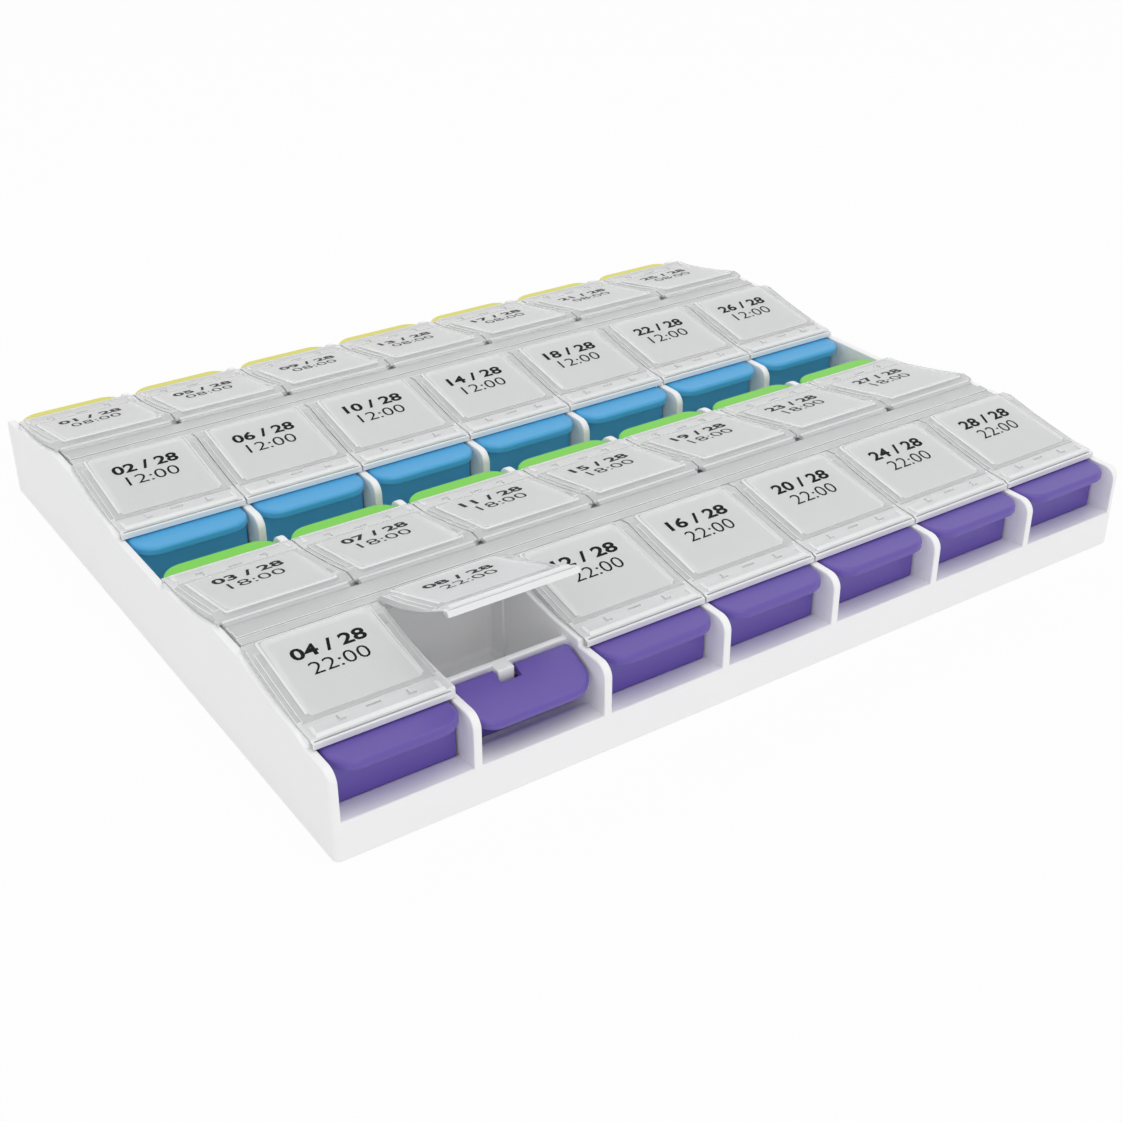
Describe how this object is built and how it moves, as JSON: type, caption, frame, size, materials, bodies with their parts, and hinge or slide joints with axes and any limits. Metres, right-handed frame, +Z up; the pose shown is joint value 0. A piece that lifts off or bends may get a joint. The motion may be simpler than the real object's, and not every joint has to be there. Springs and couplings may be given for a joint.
{
  "type": "weekly pill organizer",
  "caption": "Weekly pill organizer: white tray of compartments in rows back to back, clear hinged lids with raised windows, coloured rocking push buttons, clear hinge strips.",
  "frame": {"origin": "middle of the tray's underside", "axes": "+X runs from the first day of the week to the last, +Y from the bedtime row in front to the morning row at the back, +Z up"},
  "size_m": [0.235, 0.198, 0.0424],
  "materials": {
    "white_plastic": "satin white moulded plastic",
    "clear_plastic": "clear polished plastic",
    "purple_plastic": "satin purple plastic",
    "green_plastic": "satin green plastic",
    "blue_plastic": "satin blue plastic",
    "yellow_plastic": "satin yellow plastic"
  },
  "bodies": {
    "tray": {"tray": "white_plastic", "hinge_strip_front": "clear_plastic", "hinge_strip_rear": "clear_plastic"},
    "lid_sun_bedtime": {"lid_sun_bedtime": "clear_plastic"},
    "button_sun_bedtime": {"button_sun_bedtime": "purple_plastic"},
    "lid_mon_bedtime": {"lid_mon_bedtime": "clear_plastic"},
    "button_mon_bedtime": {"button_mon_bedtime": "purple_plastic"},
    "lid_tue_bedtime": {"lid_tue_bedtime": "clear_plastic"},
    "button_tue_bedtime": {"button_tue_bedtime": "purple_plastic"},
    "lid_wed_bedtime": {"lid_wed_bedtime": "clear_plastic"},
    "button_wed_bedtime": {"button_wed_bedtime": "purple_plastic"},
    "lid_thu_bedtime": {"lid_thu_bedtime": "clear_plastic"},
    "button_thu_bedtime": {"button_thu_bedtime": "purple_plastic"},
    "lid_fri_bedtime": {"lid_fri_bedtime": "clear_plastic"},
    "button_fri_bedtime": {"button_fri_bedtime": "purple_plastic"},
    "lid_sat_bedtime": {"lid_sat_bedtime": "clear_plastic"},
    "button_sat_bedtime": {"button_sat_bedtime": "purple_plastic"},
    "lid_sun_evening": {"lid_sun_evening": "clear_plastic"},
    "button_sun_evening": {"button_sun_evening": "green_plastic"},
    "lid_mon_evening": {"lid_mon_evening": "clear_plastic"},
    "button_mon_evening": {"button_mon_evening": "green_plastic"},
    "lid_tue_evening": {"lid_tue_evening": "clear_plastic"},
    "button_tue_evening": {"button_tue_evening": "green_plastic"},
    "lid_wed_evening": {"lid_wed_evening": "clear_plastic"},
    "button_wed_evening": {"button_wed_evening": "green_plastic"},
    "lid_thu_evening": {"lid_thu_evening": "clear_plastic"},
    "button_thu_evening": {"button_thu_evening": "green_plastic"},
    "lid_fri_evening": {"lid_fri_evening": "clear_plastic"},
    "button_fri_evening": {"button_fri_evening": "green_plastic"},
    "lid_sat_evening": {"lid_sat_evening": "clear_plastic"},
    "button_sat_evening": {"button_sat_evening": "green_plastic"},
    "lid_sun_noon": {"lid_sun_noon": "clear_plastic"},
    "button_sun_noon": {"button_sun_noon": "blue_plastic"},
    "lid_mon_noon": {"lid_mon_noon": "clear_plastic"},
    "button_mon_noon": {"button_mon_noon": "blue_plastic"},
    "lid_tue_noon": {"lid_tue_noon": "clear_plastic"},
    "button_tue_noon": {"button_tue_noon": "blue_plastic"},
    "lid_wed_noon": {"lid_wed_noon": "clear_plastic"},
    "button_wed_noon": {"button_wed_noon": "blue_plastic"},
    "lid_thu_noon": {"lid_thu_noon": "clear_plastic"},
    "button_thu_noon": {"button_thu_noon": "blue_plastic"},
    "lid_fri_noon": {"lid_fri_noon": "clear_plastic"},
    "button_fri_noon": {"button_fri_noon": "blue_plastic"},
    "lid_sat_noon": {"lid_sat_noon": "clear_plastic"},
    "button_sat_noon": {"button_sat_noon": "blue_plastic"},
    "lid_sun_morning": {"lid_sun_morning": "clear_plastic"},
    "button_sun_morning": {"button_sun_morning": "yellow_plastic"},
    "lid_mon_morning": {"lid_mon_morning": "clear_plastic"},
    "button_mon_morning": {"button_mon_morning": "yellow_plastic"},
    "lid_tue_morning": {"lid_tue_morning": "clear_plastic"},
    "button_tue_morning": {"button_tue_morning": "yellow_plastic"},
    "lid_wed_morning": {"lid_wed_morning": "clear_plastic"},
    "button_wed_morning": {"button_wed_morning": "yellow_plastic"},
    "lid_thu_morning": {"lid_thu_morning": "clear_plastic"},
    "button_thu_morning": {"button_thu_morning": "yellow_plastic"},
    "lid_fri_morning": {"lid_fri_morning": "clear_plastic"},
    "button_fri_morning": {"button_fri_morning": "yellow_plastic"},
    "lid_sat_morning": {"lid_sat_morning": "clear_plastic"},
    "button_sat_morning": {"button_sat_morning": "yellow_plastic"}
  },
  "joints": [
    {"name": "lid_sun_bedtime_hinge", "type": "hinge", "parent": "tray", "child": "lid_sun_bedtime", "pos_m": [-0.09981, -0.0566, 0.0282], "axis": [-1, 0, 0], "range_deg": [0, 95]},
    {"name": "button_sun_bedtime_rock", "type": "hinge", "parent": "tray", "child": "button_sun_bedtime", "pos_m": [-0.09981, -0.0854, 0.0208], "axis": [1, 0, 0], "range_deg": [0, 22], "stiffness_Nm_per_rad": 0.02},
    {"name": "lid_mon_bedtime_hinge", "type": "hinge", "parent": "tray", "child": "lid_mon_bedtime", "pos_m": [-0.06654, -0.0566, 0.0282], "axis": [-1, 0, 0], "range_deg": [-31, 64]},
    {"name": "button_mon_bedtime_rock", "type": "hinge", "parent": "tray", "child": "button_mon_bedtime", "pos_m": [-0.06654, -0.0854, 0.0208], "axis": [1, 0, 0], "range_deg": [-22, 0]},
    {"name": "lid_tue_bedtime_hinge", "type": "hinge", "parent": "tray", "child": "lid_tue_bedtime", "pos_m": [-0.03327, -0.0566, 0.0282], "axis": [-1, 0, 0], "range_deg": [0, 95]},
    {"name": "button_tue_bedtime_rock", "type": "hinge", "parent": "tray", "child": "button_tue_bedtime", "pos_m": [-0.03327, -0.0854, 0.0208], "axis": [1, 0, 0], "range_deg": [0, 22], "stiffness_Nm_per_rad": 0.02},
    {"name": "lid_wed_bedtime_hinge", "type": "hinge", "parent": "tray", "child": "lid_wed_bedtime", "pos_m": [0, -0.0566, 0.0282], "axis": [-1, 0, 0], "range_deg": [0, 95]},
    {"name": "button_wed_bedtime_rock", "type": "hinge", "parent": "tray", "child": "button_wed_bedtime", "pos_m": [0, -0.0854, 0.0208], "axis": [1, 0, 0], "range_deg": [0, 22], "stiffness_Nm_per_rad": 0.02},
    {"name": "lid_thu_bedtime_hinge", "type": "hinge", "parent": "tray", "child": "lid_thu_bedtime", "pos_m": [0.03327, -0.0566, 0.0282], "axis": [-1, 0, 0], "range_deg": [0, 95]},
    {"name": "button_thu_bedtime_rock", "type": "hinge", "parent": "tray", "child": "button_thu_bedtime", "pos_m": [0.03327, -0.0854, 0.0208], "axis": [1, 0, 0], "range_deg": [0, 22], "stiffness_Nm_per_rad": 0.02},
    {"name": "lid_fri_bedtime_hinge", "type": "hinge", "parent": "tray", "child": "lid_fri_bedtime", "pos_m": [0.06654, -0.0566, 0.0282], "axis": [-1, 0, 0], "range_deg": [0, 95]},
    {"name": "button_fri_bedtime_rock", "type": "hinge", "parent": "tray", "child": "button_fri_bedtime", "pos_m": [0.06654, -0.0854, 0.0208], "axis": [1, 0, 0], "range_deg": [0, 22], "stiffness_Nm_per_rad": 0.02},
    {"name": "lid_sat_bedtime_hinge", "type": "hinge", "parent": "tray", "child": "lid_sat_bedtime", "pos_m": [0.09981, -0.0566, 0.0282], "axis": [-1, 0, 0], "range_deg": [0, 95]},
    {"name": "button_sat_bedtime_rock", "type": "hinge", "parent": "tray", "child": "button_sat_bedtime", "pos_m": [0.09981, -0.0854, 0.0208], "axis": [1, 0, 0], "range_deg": [0, 22], "stiffness_Nm_per_rad": 0.02},
    {"name": "lid_sun_evening_hinge", "type": "hinge", "parent": "tray", "child": "lid_sun_evening", "pos_m": [-0.09981, -0.0464, 0.0282], "axis": [1, 0, 0], "range_deg": [0, 95]},
    {"name": "button_sun_evening_rock", "type": "hinge", "parent": "tray", "child": "button_sun_evening", "pos_m": [-0.09981, -0.0176, 0.0208], "axis": [-1, 0, 0], "range_deg": [0, 22], "stiffness_Nm_per_rad": 0.02},
    {"name": "lid_mon_evening_hinge", "type": "hinge", "parent": "tray", "child": "lid_mon_evening", "pos_m": [-0.06654, -0.0464, 0.0282], "axis": [1, 0, 0], "range_deg": [0, 95]},
    {"name": "button_mon_evening_rock", "type": "hinge", "parent": "tray", "child": "button_mon_evening", "pos_m": [-0.06654, -0.0176, 0.0208], "axis": [-1, 0, 0], "range_deg": [0, 22], "stiffness_Nm_per_rad": 0.02},
    {"name": "lid_tue_evening_hinge", "type": "hinge", "parent": "tray", "child": "lid_tue_evening", "pos_m": [-0.03327, -0.0464, 0.0282], "axis": [1, 0, 0], "range_deg": [0, 95]},
    {"name": "button_tue_evening_rock", "type": "hinge", "parent": "tray", "child": "button_tue_evening", "pos_m": [-0.03327, -0.0176, 0.0208], "axis": [-1, 0, 0], "range_deg": [0, 22], "stiffness_Nm_per_rad": 0.02},
    {"name": "lid_wed_evening_hinge", "type": "hinge", "parent": "tray", "child": "lid_wed_evening", "pos_m": [0, -0.0464, 0.0282], "axis": [1, 0, 0], "range_deg": [0, 95]},
    {"name": "button_wed_evening_rock", "type": "hinge", "parent": "tray", "child": "button_wed_evening", "pos_m": [0, -0.0176, 0.0208], "axis": [-1, 0, 0], "range_deg": [0, 22], "stiffness_Nm_per_rad": 0.02},
    {"name": "lid_thu_evening_hinge", "type": "hinge", "parent": "tray", "child": "lid_thu_evening", "pos_m": [0.03327, -0.0464, 0.0282], "axis": [1, 0, 0], "range_deg": [0, 95]},
    {"name": "button_thu_evening_rock", "type": "hinge", "parent": "tray", "child": "button_thu_evening", "pos_m": [0.03327, -0.0176, 0.0208], "axis": [-1, 0, 0], "range_deg": [0, 22], "stiffness_Nm_per_rad": 0.02},
    {"name": "lid_fri_evening_hinge", "type": "hinge", "parent": "tray", "child": "lid_fri_evening", "pos_m": [0.06654, -0.0464, 0.0282], "axis": [1, 0, 0], "range_deg": [0, 95]},
    {"name": "button_fri_evening_rock", "type": "hinge", "parent": "tray", "child": "button_fri_evening", "pos_m": [0.06654, -0.0176, 0.0208], "axis": [-1, 0, 0], "range_deg": [0, 22], "stiffness_Nm_per_rad": 0.02},
    {"name": "lid_sat_evening_hinge", "type": "hinge", "parent": "tray", "child": "lid_sat_evening", "pos_m": [0.09981, -0.0464, 0.0282], "axis": [1, 0, 0], "range_deg": [0, 95]},
    {"name": "button_sat_evening_rock", "type": "hinge", "parent": "tray", "child": "button_sat_evening", "pos_m": [0.09981, -0.0176, 0.0208], "axis": [-1, 0, 0], "range_deg": [0, 22], "stiffness_Nm_per_rad": 0.02},
    {"name": "lid_sun_noon_hinge", "type": "hinge", "parent": "tray", "child": "lid_sun_noon", "pos_m": [-0.09981, 0.0464, 0.0282], "axis": [-1, 0, 0], "range_deg": [0, 95]},
    {"name": "button_sun_noon_rock", "type": "hinge", "parent": "tray", "child": "button_sun_noon", "pos_m": [-0.09981, 0.0176, 0.0208], "axis": [1, 0, 0], "range_deg": [0, 22], "stiffness_Nm_per_rad": 0.02},
    {"name": "lid_mon_noon_hinge", "type": "hinge", "parent": "tray", "child": "lid_mon_noon", "pos_m": [-0.06654, 0.0464, 0.0282], "axis": [-1, 0, 0], "range_deg": [0, 95]},
    {"name": "button_mon_noon_rock", "type": "hinge", "parent": "tray", "child": "button_mon_noon", "pos_m": [-0.06654, 0.0176, 0.0208], "axis": [1, 0, 0], "range_deg": [0, 22], "stiffness_Nm_per_rad": 0.02},
    {"name": "lid_tue_noon_hinge", "type": "hinge", "parent": "tray", "child": "lid_tue_noon", "pos_m": [-0.03327, 0.0464, 0.0282], "axis": [-1, 0, 0], "range_deg": [0, 95]},
    {"name": "button_tue_noon_rock", "type": "hinge", "parent": "tray", "child": "button_tue_noon", "pos_m": [-0.03327, 0.0176, 0.0208], "axis": [1, 0, 0], "range_deg": [0, 22], "stiffness_Nm_per_rad": 0.02},
    {"name": "lid_wed_noon_hinge", "type": "hinge", "parent": "tray", "child": "lid_wed_noon", "pos_m": [0, 0.0464, 0.0282], "axis": [-1, 0, 0], "range_deg": [0, 95]},
    {"name": "button_wed_noon_rock", "type": "hinge", "parent": "tray", "child": "button_wed_noon", "pos_m": [0, 0.0176, 0.0208], "axis": [1, 0, 0], "range_deg": [0, 22], "stiffness_Nm_per_rad": 0.02},
    {"name": "lid_thu_noon_hinge", "type": "hinge", "parent": "tray", "child": "lid_thu_noon", "pos_m": [0.03327, 0.0464, 0.0282], "axis": [-1, 0, 0], "range_deg": [0, 95]},
    {"name": "button_thu_noon_rock", "type": "hinge", "parent": "tray", "child": "button_thu_noon", "pos_m": [0.03327, 0.0176, 0.0208], "axis": [1, 0, 0], "range_deg": [0, 22], "stiffness_Nm_per_rad": 0.02},
    {"name": "lid_fri_noon_hinge", "type": "hinge", "parent": "tray", "child": "lid_fri_noon", "pos_m": [0.06654, 0.0464, 0.0282], "axis": [-1, 0, 0], "range_deg": [0, 95]},
    {"name": "button_fri_noon_rock", "type": "hinge", "parent": "tray", "child": "button_fri_noon", "pos_m": [0.06654, 0.0176, 0.0208], "axis": [1, 0, 0], "range_deg": [0, 22], "stiffness_Nm_per_rad": 0.02},
    {"name": "lid_sat_noon_hinge", "type": "hinge", "parent": "tray", "child": "lid_sat_noon", "pos_m": [0.09981, 0.0464, 0.0282], "axis": [-1, 0, 0], "range_deg": [0, 95]},
    {"name": "button_sat_noon_rock", "type": "hinge", "parent": "tray", "child": "button_sat_noon", "pos_m": [0.09981, 0.0176, 0.0208], "axis": [1, 0, 0], "range_deg": [0, 22], "stiffness_Nm_per_rad": 0.02},
    {"name": "lid_sun_morning_hinge", "type": "hinge", "parent": "tray", "child": "lid_sun_morning", "pos_m": [-0.09981, 0.0566, 0.0282], "axis": [1, 0, 0], "range_deg": [0, 95]},
    {"name": "button_sun_morning_rock", "type": "hinge", "parent": "tray", "child": "button_sun_morning", "pos_m": [-0.09981, 0.0854, 0.0208], "axis": [-1, 0, 0], "range_deg": [0, 22], "stiffness_Nm_per_rad": 0.02},
    {"name": "lid_mon_morning_hinge", "type": "hinge", "parent": "tray", "child": "lid_mon_morning", "pos_m": [-0.06654, 0.0566, 0.0282], "axis": [1, 0, 0], "range_deg": [0, 95]},
    {"name": "button_mon_morning_rock", "type": "hinge", "parent": "tray", "child": "button_mon_morning", "pos_m": [-0.06654, 0.0854, 0.0208], "axis": [-1, 0, 0], "range_deg": [0, 22], "stiffness_Nm_per_rad": 0.02},
    {"name": "lid_tue_morning_hinge", "type": "hinge", "parent": "tray", "child": "lid_tue_morning", "pos_m": [-0.03327, 0.0566, 0.0282], "axis": [1, 0, 0], "range_deg": [0, 95]},
    {"name": "button_tue_morning_rock", "type": "hinge", "parent": "tray", "child": "button_tue_morning", "pos_m": [-0.03327, 0.0854, 0.0208], "axis": [-1, 0, 0], "range_deg": [0, 22], "stiffness_Nm_per_rad": 0.02},
    {"name": "lid_wed_morning_hinge", "type": "hinge", "parent": "tray", "child": "lid_wed_morning", "pos_m": [0, 0.0566, 0.0282], "axis": [1, 0, 0], "range_deg": [0, 95]},
    {"name": "button_wed_morning_rock", "type": "hinge", "parent": "tray", "child": "button_wed_morning", "pos_m": [0, 0.0854, 0.0208], "axis": [-1, 0, 0], "range_deg": [0, 22], "stiffness_Nm_per_rad": 0.02},
    {"name": "lid_thu_morning_hinge", "type": "hinge", "parent": "tray", "child": "lid_thu_morning", "pos_m": [0.03327, 0.0566, 0.0282], "axis": [1, 0, 0], "range_deg": [0, 95]},
    {"name": "button_thu_morning_rock", "type": "hinge", "parent": "tray", "child": "button_thu_morning", "pos_m": [0.03327, 0.0854, 0.0208], "axis": [-1, 0, 0], "range_deg": [0, 22], "stiffness_Nm_per_rad": 0.02},
    {"name": "lid_fri_morning_hinge", "type": "hinge", "parent": "tray", "child": "lid_fri_morning", "pos_m": [0.06654, 0.0566, 0.0282], "axis": [1, 0, 0], "range_deg": [0, 95]},
    {"name": "button_fri_morning_rock", "type": "hinge", "parent": "tray", "child": "button_fri_morning", "pos_m": [0.06654, 0.0854, 0.0208], "axis": [-1, 0, 0], "range_deg": [0, 22], "stiffness_Nm_per_rad": 0.02},
    {"name": "lid_sat_morning_hinge", "type": "hinge", "parent": "tray", "child": "lid_sat_morning", "pos_m": [0.09981, 0.0566, 0.0282], "axis": [1, 0, 0], "range_deg": [0, 95]},
    {"name": "button_sat_morning_rock", "type": "hinge", "parent": "tray", "child": "button_sat_morning", "pos_m": [0.09981, 0.0854, 0.0208], "axis": [-1, 0, 0], "range_deg": [0, 22], "stiffness_Nm_per_rad": 0.02}
  ]
}
